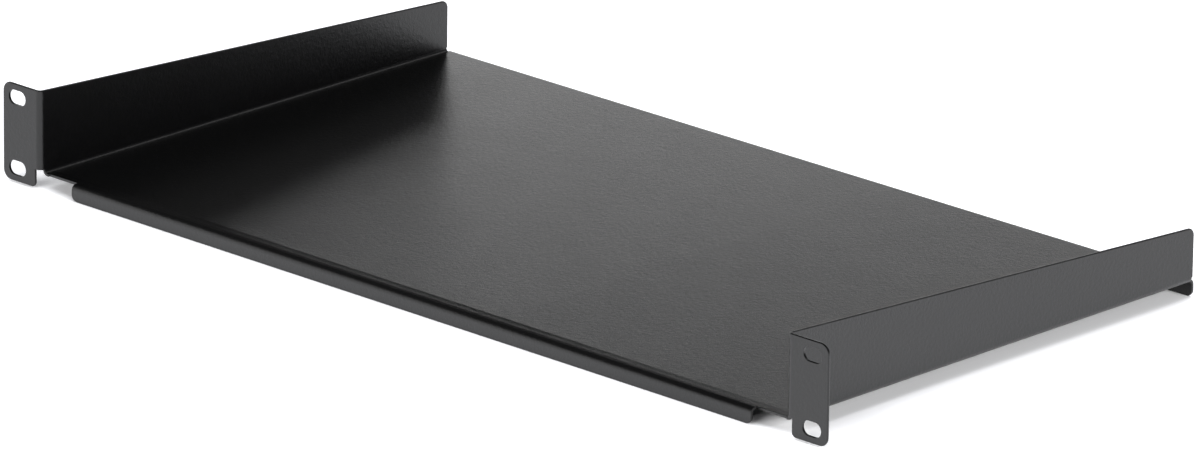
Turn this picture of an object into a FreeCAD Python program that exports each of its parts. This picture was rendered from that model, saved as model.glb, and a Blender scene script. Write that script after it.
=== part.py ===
import FreeCAD, Part
import math
import os

# Cantilever rack shelf, folded from a single blank of sheet steel.
# X runs across the rack, Y from the front to the back and Z up, all in millimetres.
# The origin is the middle of the four rack slots, in the rear face of the ears.

# Rack front: the ears, which reach out from the tray's walls, and the slots, set in from the ears' edges
ear_span = 482.6
ear_height = 44.0
ear_reach = 21.8
ear_outer_corner_radius = 4.4
ear_inner_corner_radius = 2.2
slot_length = 10.3
slot_height = 6.5
slot_inset_from_side = 8.75
slot_inset_from_end = 6.125

# Sheet and its folds; where two folds meet, the blank is notched clear of their bends
sheet_thickness = 1.2
bend_inner_radius = 1.5
relief_clearance = 0.7

# Tray: the deck's upper face above the ears' lower edge, and the walls' rear end above the deck
shelf_depth = 250.0
deck_rise = 6.7
wall_rear_height = 23.4
wall_corner_radius = 3.5

# Stiffening flanges, set in from the tray's sides and measured down from the deck's upper face
front_flange_inset = 20.5
front_flange_height = 7.3
rear_flange_inset = 1.9
rear_flange_height = 8.3
flange_corner_radius = 3.0

# Levels and lines that follow from the dimensions above
bend_outer_radius = bend_inner_radius + sheet_thickness
ear_top_z = ear_height / 2
slot_x = ear_span / 2 - slot_inset_from_side
slot_z = ear_height / 2 - slot_inset_from_end
deck_top_z = deck_rise - ear_height / 2
deck_bottom_z = deck_top_z - sheet_thickness
wall_outer_x = ear_span / 2 - ear_reach
wall_inner_x = wall_outer_x - sheet_thickness
deck_edge_x = wall_outer_x - bend_outer_radius
wall_foot_z = deck_bottom_z + bend_outer_radius
ear_root_x = wall_outer_x + bend_inner_radius
wall_front_y = bend_inner_radius
deck_rear_y = shelf_depth - bend_outer_radius
notch_y = wall_front_y + relief_clearance
foot_rear_y = deck_rear_y - relief_clearance
ear_free_x = ear_root_x + relief_clearance
relief_corner_radius = relief_clearance / 2
quarter_turn = 90.0

Vector = FreeCAD.Vector
along_x = Vector(1, 0, 0)
along_y = Vector(0, 1, 0)
along_z = Vector(0, 0, 1)


def corner_arc(before, corner, after, radius):
    """First point, arc and last point of the rounding of one corner, an arc tangent to both sides."""
    back = (before - corner).normalize()
    onward = (after - corner).normalize()
    half_angle = back.getAngle(onward) / 2
    middle = (back + onward).normalize()
    start = corner + back * (radius / math.tan(half_angle))
    end = corner + onward * (radius / math.tan(half_angle))
    crown = corner + middle * (radius / math.sin(half_angle) - radius)
    return start, Part.Arc(start, crown, end).toShape(), end


def panel(corners, thickness):
    """Flat piece of the sheet: an outline of (point, corner radius) pairs, thickened by a vector."""
    edges = []
    first = None
    last = None
    for index, (corner, radius) in enumerate(corners):
        start = corner
        end = corner
        arc = None
        if radius > 0:
            before = corners[index - 1][0]
            after = corners[(index + 1) % len(corners)][0]
            start, arc, end = corner_arc(before, corner, after, radius)
        if last is None:
            first = start
        else:
            edges.append(Part.makeLine(last, start))
        if arc is not None:
            edges.append(arc)
        last = end
    edges.append(Part.makeLine(last, first))
    return Part.Face(Part.Wire(edges)).extrude(thickness)


def fold(corner, length, thickness, centre, axis):
    """Quarter bend: the sheet's cut edge, length by thickness from a corner, turned about the bend's centre."""
    cut_edge = Part.Wire(Part.makePolygon([
        corner,
        corner + length,
        corner + length + thickness,
        corner + thickness,
        corner,
    ]))
    return Part.Face(cut_edge).revolve(centre, axis, quarter_turn)


def rack_slot(x, z):
    """Round-ended slot that passes through an ear, centred on x and z."""
    end_radius = slot_height / 2
    straight = slot_length / 2 - end_radius
    front = -sheet_thickness
    low_left = Vector(x - straight, front, z - end_radius)
    low_right = Vector(x + straight, front, z - end_radius)
    top_left = Vector(x - straight, front, z + end_radius)
    top_right = Vector(x + straight, front, z + end_radius)
    outline = Part.Wire([
        Part.makeLine(low_left, low_right),
        Part.Arc(low_right, Vector(x + slot_length / 2, front, z), top_right).toShape(),
        Part.makeLine(top_right, top_left),
        Part.Arc(top_left, Vector(x - slot_length / 2, front, z), low_left).toShape(),
    ])
    return Part.Face(outline).extrude(along_y * sheet_thickness)


def deck():
    """Flat floor of the tray, out to the lines where its folds begin."""
    front_tab_x = wall_outer_x - front_flange_inset
    rear_tab_x = wall_outer_x - rear_flange_inset
    notch_end_x = deck_edge_x - relief_clearance
    right_side = [
        (front_tab_x, wall_front_y, 0),
        (front_tab_x, notch_y, relief_corner_radius),
        (notch_end_x, notch_y, relief_corner_radius),
        (notch_end_x, wall_front_y, 0),
        (deck_edge_x, wall_front_y, 0),
        (deck_edge_x, foot_rear_y, 0),
        (rear_tab_x, foot_rear_y, 0),
        (rear_tab_x, deck_rear_y, 0),
    ]
    left_side = [(-x, y, radius) for x, y, radius in reversed(right_side)]
    corners = [(Vector(x, y, deck_bottom_z), radius) for x, y, radius in right_side + left_side]
    return panel(corners, along_z * sheet_thickness)


def side_wall():
    """Right-hand wall: folded up from the deck, and tapered to a lower, rounded rear end."""
    upright = [
        (Vector(wall_inner_x, wall_front_y, wall_foot_z), 0),
        (Vector(wall_inner_x, deck_rear_y, wall_foot_z), 0),
        (Vector(wall_inner_x, deck_rear_y, deck_top_z + wall_rear_height), wall_corner_radius),
        (Vector(wall_inner_x, wall_front_y, ear_top_z), 0),
    ]
    foot = fold(
        Vector(deck_edge_x, wall_front_y, deck_bottom_z),
        along_y * (foot_rear_y - wall_front_y),
        along_z * sheet_thickness,
        Vector(deck_edge_x, wall_front_y, wall_foot_z),
        -along_y,
    )
    return [panel(upright, along_x * sheet_thickness), foot]


def ear():
    """Right-hand ear: folded outwards from the wall's front, and free of the tray below the wall's foot."""
    front = -sheet_thickness
    outline = [
        (Vector(ear_free_x, front, -ear_top_z), ear_inner_corner_radius),
        (Vector(ear_span / 2, front, -ear_top_z), ear_outer_corner_radius),
        (Vector(ear_span / 2, front, ear_top_z), ear_outer_corner_radius),
        (Vector(ear_root_x, front, ear_top_z), 0),
        (Vector(ear_root_x, front, wall_foot_z), 0),
        (Vector(ear_free_x, front, wall_foot_z), 0),
    ]
    plate = panel(outline, along_y * sheet_thickness)
    for level in (-slot_z, slot_z):
        plate = plate.cut(rack_slot(slot_x, level))
    root = fold(
        Vector(wall_inner_x, wall_front_y, wall_foot_z),
        along_z * (ear_top_z - wall_foot_z),
        along_x * sheet_thickness,
        Vector(ear_root_x, wall_front_y, wall_foot_z),
        along_z,
    )
    return [plate, root]


def flange(inset, height, root_y, outward):
    """Stiffening flange: its fold begins at root_y and turns down from the deck; outward is -1 or 1 along Y."""
    half_width = wall_outer_x - inset
    outer_y = root_y + outward * bend_outer_radius
    foot_z = deck_top_z - height
    head_z = deck_top_z - bend_outer_radius
    face = [
        (Vector(-half_width, outer_y, foot_z), flange_corner_radius),
        (Vector(half_width, outer_y, foot_z), flange_corner_radius),
        (Vector(half_width, outer_y, head_z), 0),
        (Vector(-half_width, outer_y, head_z), 0),
    ]
    root = fold(
        Vector(-half_width, root_y, deck_bottom_z),
        along_x * (2 * half_width),
        along_z * sheet_thickness,
        Vector(-half_width, root_y, head_z),
        -along_x * outward,
    )
    return [panel(face, along_y * (-outward * sheet_thickness)), root]


def folded_shelf():
    """Whole shelf: one side is mirrored to the other, and the folded sheet becomes one solid."""
    one_side = side_wall() + ear()
    other_side = [piece.mirror(Vector(0, 0, 0), along_x) for piece in one_side]
    front_flange = flange(front_flange_inset, front_flange_height, wall_front_y, -1)
    rear_flange = flange(rear_flange_inset, rear_flange_height, deck_rear_y, 1)
    folded = one_side + other_side + front_flange + rear_flange
    return deck().multiFuse(folded).removeSplitter().Solids[0]


os.makedirs("parts", exist_ok=True)
folded_shelf().exportStep("parts/rack_shelf.step")
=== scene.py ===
import math

import bpy
import numpy as np
from mathutils import Matrix, Vector


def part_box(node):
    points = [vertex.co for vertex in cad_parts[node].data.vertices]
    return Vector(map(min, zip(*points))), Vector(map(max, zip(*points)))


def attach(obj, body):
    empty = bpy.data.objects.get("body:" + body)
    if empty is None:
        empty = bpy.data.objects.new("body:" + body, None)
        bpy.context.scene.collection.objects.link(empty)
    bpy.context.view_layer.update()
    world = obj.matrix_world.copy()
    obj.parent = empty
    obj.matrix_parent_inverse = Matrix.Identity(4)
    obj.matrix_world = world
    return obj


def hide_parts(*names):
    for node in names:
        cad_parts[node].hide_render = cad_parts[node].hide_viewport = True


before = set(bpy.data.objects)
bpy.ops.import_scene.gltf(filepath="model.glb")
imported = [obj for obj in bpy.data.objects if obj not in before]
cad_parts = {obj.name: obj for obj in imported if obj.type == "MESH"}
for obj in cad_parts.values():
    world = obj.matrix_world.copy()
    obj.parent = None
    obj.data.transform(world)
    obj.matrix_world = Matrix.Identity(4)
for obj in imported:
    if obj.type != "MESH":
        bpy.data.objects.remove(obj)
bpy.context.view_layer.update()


# The shelf is one blank of cold-rolled steel sheet, laser cut and then folded on a press brake.
# Its deck, side walls, ears and two stiffening flanges are all the same sheet, so it is built here
# as one surface, the deck's upper side carried on round every fold, and then given its thickness.
shelf_low, shelf_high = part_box("rack_shelf")
sheet_thickness = 0.0012
bend_inner_radius = 0.0015
bend_outer_radius = bend_inner_radius + sheet_thickness
relief = 0.0007
rim_rounding = 0.0005
sharp_rounding = 0.00014
bend_steps = 14
corner_steps = 12

ear_reach = 0.0218
ear_outer_corner = 0.0044
ear_inner_corner = 0.0022
ear_edge_x = shelf_high.x
ear_top_z = shelf_high.z
ear_front_y = shelf_low.y
wall_inner_x = ear_edge_x - ear_reach - sheet_thickness
wall_outer_x = wall_inner_x + sheet_thickness
ear_root_x = wall_inner_x + bend_outer_radius
ear_free_x = ear_root_x + relief

# Each slot is set in from its ear's side and end, and slot_straight is half the run between its round ends
slot_inset_from_side = 0.00875
slot_inset_from_end = 0.006125
slot_length = 0.0103
slot_end_radius = 0.00325
slot_x = ear_edge_x - slot_inset_from_side
slot_z = ear_top_z - slot_inset_from_end
slot_straight = slot_length / 2 - slot_end_radius

# The deck's upper side lies a little above the ears' lower edge, and the walls' rear end stands on it
deck_rise = 0.0067
wall_rear_height = 0.0234
wall_corner = 0.0035
deck_z = deck_rise - ear_top_z
deck_edge_x = wall_inner_x - bend_inner_radius
wall_foot_z = deck_z + bend_inner_radius
wall_front_y = ear_front_y + bend_outer_radius
deck_rear_y = shelf_high.y - bend_outer_radius
notch_y = wall_front_y + relief
notch_end_x = deck_edge_x - relief
foot_rear_y = deck_rear_y - relief
wall_rear_z = deck_z + wall_rear_height

# Each flange is set in from the walls' outer faces
front_flange_inset = 0.0205
front_flange_height = 0.0073
rear_flange_inset = 0.0019
flange_corner = 0.003
flange_head_z = deck_z - bend_outer_radius
front_flange_half = wall_outer_x - front_flange_inset
front_flange_foot_z = deck_z - front_flange_height
rear_flange_half = wall_outer_x - rear_flange_inset
rear_flange_foot_z = shelf_low.z

sheet_points = []
sheet_faces = []


def add_panel(outline, place):
    """Adds a flat panel as one face: place(u, v) puts the outline, anticlockwise seen from the panel's
    front, into space."""
    start = sum(len(group) for group in sheet_points)
    u, v = np.array(outline, float).T
    sheet_points.append(np.stack(np.broadcast_arrays(*place(u, v)), axis=-1))
    sheet_faces.append(start + np.arange(len(outline)))


def add_fold(axis, first, last, ends, place):
    """Adds a quarter cylinder as strips that run from one end of the fold to the other. axis is the two
    coordinates of the fold's middle line; a strip's side lies at axis + first * cos + last * sin of the
    turn."""
    start = sum(len(group) for group in sheet_points)
    turn = np.linspace(0.0, math.pi / 2, bend_steps + 1)[:, None]
    ring = np.array(axis) + np.cos(turn) * np.array(first) + np.sin(turn) * np.array(last)
    u, v = np.repeat(ring, 2, axis=0).T
    along = np.tile(ends, bend_steps + 1)
    sheet_points.append(np.stack(np.broadcast_arrays(*place(u, v, along)), axis=-1))
    index = start + 2 * np.arange(bend_steps)[:, None] + np.array([0, 2, 3, 1])
    sheet_faces.extend(index)


def on_both_sides(add, *shape, place):
    """Adds a panel or a fold on the right, and its mirror image on the left with each face's corners in
    reverse order, so that it shows the same side of the sheet."""
    add(*shape, place)
    first_new = len(sheet_faces)

    def mirrored(*parts):
        """The point that place gives, with the sign of its X turned round."""
        x, y, z = place(*parts)
        return -x, y, z

    add(*shape, mirrored)
    for number in range(first_new, len(sheet_faces)):
        sheet_faces[number] = sheet_faces[number][::-1]


def arc(centre, radius, first, last):
    """Points evenly spaced round an arc, with both its ends; the angles are in quarter turns."""
    angle = np.linspace(first, last, corner_steps + 1) * math.pi / 2
    ring = np.stack([np.cos(angle), np.sin(angle)], axis=-1)
    return list(np.array(centre) + radius * ring)


# The deck runs out to its fold lines, is notched at its front corners and has a wide tab for the rear flange
deck_side = [
    (front_flange_half, wall_front_y),
    (front_flange_half, notch_y),
    (notch_end_x, notch_y),
    (notch_end_x, wall_front_y),
    (deck_edge_x, wall_front_y),
    (deck_edge_x, foot_rear_y),
    (rear_flange_half, foot_rear_y),
    (rear_flange_half, deck_rear_y),
]
deck_outline = deck_side + [(-x, y) for x, y in reversed(deck_side)]
add_panel(deck_outline, lambda x, y: (x, y, deck_z))

# A stiffening flange is folded down along the front edge, and a deeper one along the rear edge
for half_width, foot_z, fold_y, outward in (
    (front_flange_half, front_flange_foot_z, wall_front_y, -1),
    (rear_flange_half, rear_flange_foot_z, deck_rear_y, 1),
):
    face_y = fold_y + outward * bend_outer_radius
    face = [(half_width, flange_head_z), (-half_width, flange_head_z)]
    face += arc((-half_width + flange_corner, foot_z + flange_corner), flange_corner, 2, 3)
    face += arc((half_width - flange_corner, foot_z + flange_corner), flange_corner, 3, 4)
    add_panel(face[::-outward], lambda x, z: (x, face_y, z))
    add_fold(
        (fold_y, flange_head_z),
        (0, bend_outer_radius),
        (outward * bend_outer_radius, 0),
        (outward * half_width, -outward * half_width),
        lambda y, z, x: (x, y, z),
    )

# Each side wall stands on a fold along the deck's side, and its top edge slopes down to a rounded rear corner
slope = math.atan2(ear_top_z - wall_rear_z, deck_rear_y - wall_front_y)
slope_turn = slope / (math.pi / 2)
wall_corner_middle = (
    deck_rear_y - wall_corner,
    wall_rear_z + math.tan(slope) * wall_corner - wall_corner / math.cos(slope),
)
wall_outline = [(wall_front_y, wall_foot_z), (wall_front_y, ear_top_z)]
wall_outline += arc(wall_corner_middle, wall_corner, 1 - slope_turn, 0)
wall_outline += [(deck_rear_y, wall_foot_z), (foot_rear_y, wall_foot_z)]
on_both_sides(add_panel, wall_outline, place=lambda y, z: (np.full_like(y, wall_inner_x), y, z))
on_both_sides(
    add_fold,
    (deck_edge_x, wall_foot_z),
    (0, -bend_inner_radius),
    (bend_inner_radius, 0),
    (wall_front_y, foot_rear_y),
    place=lambda x, z, y: (x, y, z),
)

# Each ear is folded outwards from its wall's front edge, and hangs free of the tray below the wall's foot.
# The sheet between its edges and its two slots is two flat halves that meet on the slots' middle line.
inner_half = [
    (slot_x, ear_top_z),
    (ear_root_x, ear_top_z),
    (ear_root_x, wall_foot_z),
    (ear_free_x, wall_foot_z),
]
inner_half += arc((ear_free_x + ear_inner_corner, -ear_top_z + ear_inner_corner), ear_inner_corner, 2, 3)
inner_half += [(slot_x, -ear_top_z)]
outer_half = [(slot_x, -ear_top_z)]
outer_half += arc((ear_edge_x - ear_outer_corner, -ear_top_z + ear_outer_corner), ear_outer_corner, 3, 4)
outer_half += arc((ear_edge_x - ear_outer_corner, ear_top_z - ear_outer_corner), ear_outer_corner, 0, 1)
outer_half += [(slot_x, ear_top_z)]
for centre_z in (-slot_z, slot_z):
    inner_half += [(slot_x, centre_z - slot_end_radius)]
    inner_half += arc((slot_x - slot_straight, centre_z), slot_end_radius, 3, 1)
    inner_half += [(slot_x, centre_z + slot_end_radius)]
for centre_z in (slot_z, -slot_z):
    outer_half += [(slot_x, centre_z + slot_end_radius)]
    outer_half += arc((slot_x + slot_straight, centre_z), slot_end_radius, 1, -1)
    outer_half += [(slot_x, centre_z - slot_end_radius)]
for half in (inner_half, outer_half):
    on_both_sides(add_panel, half, place=lambda x, z: (x, ear_front_y, z))
on_both_sides(
    add_fold,
    (ear_root_x, wall_front_y),
    (-bend_outer_radius, 0),
    (0, -bend_outer_radius),
    (wall_foot_z, ear_top_z),
    place=lambda x, y, z: (x, y, z),
)

# Panels and folds are joined where their corners have the same place, once that is rounded in metres
merge_digits = 7
rounded_points = np.round(np.concatenate(sheet_points), merge_digits)
points, merged = np.unique(rounded_points, axis=0, return_inverse=True)
merged = merged.reshape(-1)
sheet_mesh = bpy.data.meshes.new("folded_sheet")
sheet_mesh.from_pydata(points.tolist(), [], [merged[face].tolist() for face in sheet_faces])
sheet_mesh.validate()
sheet_mesh.shade_smooth()

# The coat rounds the blank's outer edges fully, but the punched slots and the small reliefs stay sharper.
# A relief's sharp edge turns into the full rounding along the next corner, by a smooth step of the
# distance from the relief. The edge of the rear flange's tab that lies beside the walls' folds isn't
# rounded at all, because tab and fold part from each other there at a tangent.
edge_ends = np.array([edge.vertices[:] for edge in sheet_mesh.edges])
edge_of_corner = np.empty(len(sheet_mesh.loops), int)
sheet_mesh.loops.foreach_get("edge_index", edge_of_corner)
is_rim = np.bincount(edge_of_corner, minlength=len(edge_ends)) == 1
x, y, z = points[edge_ends].mean(axis=1).T
x = np.abs(x)
hair = 0.000001
near_slot_x = 0.006
near_slot_z = 0.004
rear_relief_width = 0.001
in_slot = (np.abs(x - slot_x) < near_slot_x) & (np.abs(np.abs(z) - slot_z) < near_slot_z)
in_slot &= y < ear_front_y + hair
from_relief = np.full_like(x, ear_inner_corner)
at_front = y < notch_y + hair
from_relief[at_front] = np.maximum(front_flange_half - x, x - ear_free_x)[at_front]
at_rear = y > foot_rear_y - hair
from_relief[at_rear] = (rear_flange_half - x)[at_rear] - rear_relief_width
from_relief[z > wall_foot_z + hair] = ear_inner_corner
from_relief[in_slot] = 0.0
blend = np.clip(from_relief / ear_inner_corner, 0.0, 1.0)
blend = blend * blend * (3.0 - 2.0 * blend)
beside_fold = (np.abs(y - foot_rear_y) < hair) & (z < deck_z + hair)
rounding = is_rim * (rim_rounding * blend + sharp_rounding * (1.0 - blend)) / rim_rounding
rounding[beside_fold] = 0.0
sheet_mesh.attributes.new("bevel_weight_edge", "FLOAT", "EDGE").data.foreach_set("value", rounding)

shelf = bpy.data.objects.new("folded_sheet", sheet_mesh)
bpy.context.scene.collection.objects.link(shelf)

sheet_body = shelf.modifiers.new("sheet thickness", "SOLIDIFY")
sheet_body.thickness = sheet_thickness
sheet_body.offset = -1.0
sheet_body.use_even_offset = True
sheet_body.use_quality_normals = True
coated_edges = shelf.modifiers.new("coated edges", "BEVEL")
coated_edges.width = rim_rounding
coated_edges.segments = 5
coated_edges.limit_method = "WEIGHT"
coated_edges.use_clamp_overlap = False
flat_panels = shelf.modifiers.new("flat panels", "WEIGHTED_NORMAL")
flat_panels.weight = 80


def powder_coat():
    """Black satin powder coat: a fine orange-peel grain, a slow change of gloss, and the faint roll of the
    deck into its front fold. The roll's height is a profile that rises from the front edge, times a depth
    that falls off in a straight line towards the right."""
    roll_end_y = 0.0068
    roll_deep_x = 0.05
    roll_shallow_x = 0.22
    roll_deep = 0.00124
    roll_shallow = 0.0003
    above_deck = 0.0002
    material = bpy.data.materials.new("black_powder_coat")
    material.use_nodes = True
    nodes, links = material.node_tree.nodes, material.node_tree.links
    coat = nodes["Principled BSDF"]
    coat.inputs["IOR"].default_value = 1.53
    place = nodes.new("ShaderNodeTexCoord")

    grain = nodes.new("ShaderNodeTexNoise")
    grain.inputs["Scale"].default_value = 620.0
    grain.inputs["Detail"].default_value = 4.0
    grain.inputs["Roughness"].default_value = 0.7
    links.new(place.outputs["Object"], grain.inputs["Vector"])

    cloud = nodes.new("ShaderNodeTexNoise")
    cloud.inputs["Scale"].default_value = 38.0
    cloud.inputs["Detail"].default_value = 2.0
    links.new(place.outputs["Object"], cloud.inputs["Vector"])

    gloss = nodes.new("ShaderNodeMapRange")
    gloss.inputs["To Min"].default_value = 0.28
    gloss.inputs["To Max"].default_value = 0.33
    links.new(cloud.outputs["Fac"], gloss.inputs["Value"])
    links.new(gloss.outputs["Result"], coat.inputs["Roughness"])

    tint = nodes.new("ShaderNodeValToRGB")
    tint.color_ramp.elements[0].position = 0.3
    tint.color_ramp.elements[0].color = (0.0012, 0.0012, 0.0013, 1.0)
    tint.color_ramp.elements[1].position = 0.7
    tint.color_ramp.elements[1].color = (0.0026, 0.0026, 0.0028, 1.0)
    links.new(grain.outputs["Fac"], tint.inputs["Fac"])
    links.new(tint.outputs["Color"], coat.inputs["Base Color"])

    axes = nodes.new("ShaderNodeSeparateXYZ")
    links.new(place.outputs["Object"], axes.inputs["Vector"])
    depth = nodes.new("ShaderNodeMapRange")
    depth.inputs["From Min"].default_value = roll_deep_x
    depth.inputs["From Max"].default_value = roll_shallow_x
    depth.inputs["To Min"].default_value = roll_deep
    depth.inputs["To Max"].default_value = roll_shallow
    links.new(axes.outputs["X"], depth.inputs["Value"])
    run = nodes.new("ShaderNodeMapRange")
    run.inputs["From Min"].default_value = shelf_low.y
    run.inputs["From Max"].default_value = roll_end_y
    links.new(axes.outputs["Y"], run.inputs["Value"])
    profile = nodes.new("ShaderNodeValToRGB")
    profile.color_ramp.elements[0].color = (0.0, 0.0, 0.0, 1.0)
    profile.color_ramp.elements[1].color = (1.0, 1.0, 1.0, 1.0)
    for position, height in ((0.5125, 0.66), (0.75, 0.79)):
        crease = profile.color_ramp.elements.new(position)
        crease.color = (height, height, height, 1.0)
    links.new(run.outputs["Result"], profile.inputs["Fac"])
    roll = nodes.new("ShaderNodeMath")
    roll.operation = "MULTIPLY"
    links.new(profile.outputs["Color"], roll.inputs[0])
    links.new(depth.outputs["Result"], roll.inputs[1])
    on_deck = nodes.new("ShaderNodeMath")
    on_deck.operation = "LESS_THAN"
    on_deck.inputs[1].default_value = deck_z + above_deck
    links.new(axes.outputs["Z"], on_deck.inputs[0])
    dip = nodes.new("ShaderNodeBump")
    dip.inputs["Distance"].default_value = 1.0
    links.new(on_deck.outputs["Value"], dip.inputs["Strength"])
    links.new(roll.outputs["Value"], dip.inputs["Height"])

    peel = nodes.new("ShaderNodeBump")
    peel.inputs["Strength"].default_value = 1.0
    peel.inputs["Distance"].default_value = 0.00014
    links.new(grain.outputs["Fac"], peel.inputs["Height"])
    links.new(dip.outputs["Normal"], peel.inputs["Normal"])
    links.new(peel.outputs["Normal"], coat.inputs["Normal"])
    return material


sheet_mesh.materials.append(powder_coat())
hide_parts("rack_shelf")
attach(shelf, "root")


# The stage is a plain white floor that the shelf lies on with both its flanges, so it falls a little towards
# the deeper one at the rear. What the camera and the gloss see of it is lifted to white by a glow of its own
# where it lies open to the room. The glow fades with ambient occlusion, so the dark under the deck and beside
# the walls is partly real shadow and partly painted shade.
floor_half = 6.0
floor_gap = 0.00002
floor_slope = (rear_flange_foot_z - front_flange_foot_z) / (shelf_high.y - shelf_low.y)
under_front_flange_z = front_flange_foot_z - floor_gap
floor_front_z = under_front_flange_z - floor_slope * (floor_half + shelf_low.y)
floor_rear_z = under_front_flange_z + floor_slope * (floor_half - shelf_low.y)
floor_mesh = bpy.data.meshes.new("floor")
floor_mesh.from_pydata(
    [
        (-floor_half, -floor_half, floor_front_z),
        (floor_half, -floor_half, floor_front_z),
        (floor_half, floor_half, floor_rear_z),
        (-floor_half, floor_half, floor_rear_z),
    ],
    [],
    [(0, 1, 2, 3)],
)
floor = bpy.data.objects.new("floor", floor_mesh)
bpy.context.scene.collection.objects.link(floor)


def floor_paper():
    """Matt white, with some light of its own that only the camera and glossy rays see. It grows in a straight
    line with how open the floor is, and well covered floor has none of it, so the missing glow paints shade
    where the floor is covered."""
    material = bpy.data.materials.new("floor_paper")
    material.use_nodes = True
    nodes, links = material.node_tree.nodes, material.node_tree.links
    nodes.clear()
    out = nodes.new("ShaderNodeOutputMaterial")
    paper = nodes.new("ShaderNodeBsdfDiffuse")
    paper.inputs["Color"].default_value = (0.85, 0.85, 0.86, 1.0)
    # The glow's strength follows ambient occlusion: painted shade on the floor under and beside the shelf, on
    # top of its real shadow.
    openness = nodes.new("ShaderNodeAmbientOcclusion")
    openness.samples = 16
    openness.inputs["Distance"].default_value = 0.06
    white = nodes.new("ShaderNodeMapRange")
    white.inputs["From Min"].default_value = 0.34
    white.inputs["From Max"].default_value = 0.7
    white.inputs["To Max"].default_value = 0.68
    links.new(openness.outputs["AO"], white.inputs["Value"])
    seen = nodes.new("ShaderNodeLightPath")
    either = nodes.new("ShaderNodeMath")
    either.operation = "MAXIMUM"
    links.new(seen.outputs["Is Camera Ray"], either.inputs[0])
    links.new(seen.outputs["Is Glossy Ray"], either.inputs[1])
    amount = nodes.new("ShaderNodeMath")
    amount.operation = "MULTIPLY"
    links.new(white.outputs["Result"], amount.inputs[0])
    links.new(either.outputs["Value"], amount.inputs[1])
    lift = nodes.new("ShaderNodeEmission")
    lift.inputs["Color"].default_value = (0.94, 0.955, 1.0, 1.0)
    links.new(amount.outputs["Value"], lift.inputs["Strength"])
    both = nodes.new("ShaderNodeAddShader")
    links.new(paper.outputs["BSDF"], both.inputs[0])
    links.new(lift.outputs["Emission"], both.inputs[1])
    links.new(both.outputs["Shader"], out.inputs["Surface"])
    return material


floor_mesh.materials.append(floor_paper())


# The room is dim, so that a black satin coat shows little but the white floor, two low screens on the left
# and a soft box high at the rear. The other soft boxes, at the front, at both sides and overhead, light the
# floor and don't show in the gloss.
def room_light():
    """Dim grey for the light, and plain white where the camera looks past the floor."""
    world = bpy.data.worlds.new("room")
    bpy.context.scene.world = world
    world.use_nodes = True
    nodes, links = world.node_tree.nodes, world.node_tree.links
    background = nodes["Background"]
    background.inputs["Color"].default_value = (1.0, 1.0, 1.0, 1.0)
    seen = nodes.new("ShaderNodeLightPath")
    brightness = nodes.new("ShaderNodeMapRange")
    brightness.inputs["To Min"].default_value = 0.07
    brightness.inputs["To Max"].default_value = 1.0
    links.new(seen.outputs["Is Camera Ray"], brightness.inputs["Value"])
    links.new(brightness.outputs["Result"], background.inputs["Strength"])


room_light()


def soft_lamp(name, place, target, width, height, power):
    """Rectangular soft box at a place, turned to face a target."""
    lamp = bpy.data.lights.new(name, "AREA")
    lamp.shape = "RECTANGLE"
    lamp.size = width
    lamp.size_y = height
    lamp.energy = power
    lamp_object = bpy.data.objects.new(name, lamp)
    lamp_object.location = place
    lamp_object.rotation_euler = (Vector(target) - Vector(place)).to_track_quat("-Z", "Y").to_euler()
    lamp_object.visible_camera = False
    bpy.context.scene.collection.objects.link(lamp_object)
    return lamp_object


def glow_power(glow, width, height):
    """Power at which a soft box looks as bright as its glow says: the glow times pi times the box's area."""
    return glow * math.pi * width * height


shelf_middle = (0.0, 0.1, 0.0)
for name, place, width, height, power in (
    ("right_box", (2.85, 0.1, 1.05), 1.6, 0.9, 122.0),
    ("front_box", (0.25, -2.75, 1.05), 1.9, 0.9, 80.0),
    ("left_box", (-2.85, 0.0, 1.05), 1.6, 0.9, 17.0),
    ("overhead_box", (0.0, 0.1, 3.0), 1.8, 1.8, 10.0),
):
    floor_lamp = soft_lamp(name, place, shelf_middle, width, height, power)
    floor_lamp.visible_glossy = False

for name, place, width, height, glow in (
    ("backdrop", (-0.79, 0.93), 2.6, 0.27, 2.25),
    ("front_screen", (-0.79, -0.93), 2.0, 0.5, 1.15),
):
    screen_place = Vector((*place, shelf_low.z + height / 2))
    screen_target = Vector((*shelf_middle[:2], screen_place.z))
    soft_lamp(name, screen_place, screen_target, width, height, glow_power(glow, width, height))

rear_width = 1.6
rear_height = 1.0
rear_glow = 1.1
rear_power = glow_power(rear_glow, rear_width, rear_height)
soft_lamp("rear_box", (0.2, 2.2, 2.1), shelf_middle, rear_width, rear_height, rear_power)


# The camera stands well back with a long lens, to the right of the shelf's front and above it. Its turn is
# a yaw to the left, a pitch down and a slight roll.
camera_place = Vector((3.2399387, -3.2753302, 1.5725809))
camera_yaw = math.radians(43.678835)
camera_pitch = math.radians(18.675081)
camera_roll = math.radians(0.650251)
forward = Vector((
    -math.sin(camera_yaw) * math.cos(camera_pitch),
    math.cos(camera_yaw) * math.cos(camera_pitch),
    -math.sin(camera_pitch),
))
level = Vector((math.cos(camera_yaw), math.sin(camera_yaw), 0))
upward = level.cross(forward)
right = level * math.cos(camera_roll) + upward * math.sin(camera_roll)
up = upward * math.cos(camera_roll) - level * math.sin(camera_roll)
camera_data = bpy.data.cameras.new("camera")
camera_data.sensor_width = 36.0
camera_data.lens = 351.25604
camera_data.clip_start = 0.1
camera_data.clip_end = 60.0
camera = bpy.data.objects.new("camera", camera_data)
camera.matrix_world = Matrix.Translation(camera_place) @ Matrix((right, up, -forward)).transposed().to_4x4()
bpy.context.scene.collection.objects.link(camera)
bpy.context.scene.camera = camera
bpy.context.scene.view_settings.view_transform = "Standard"
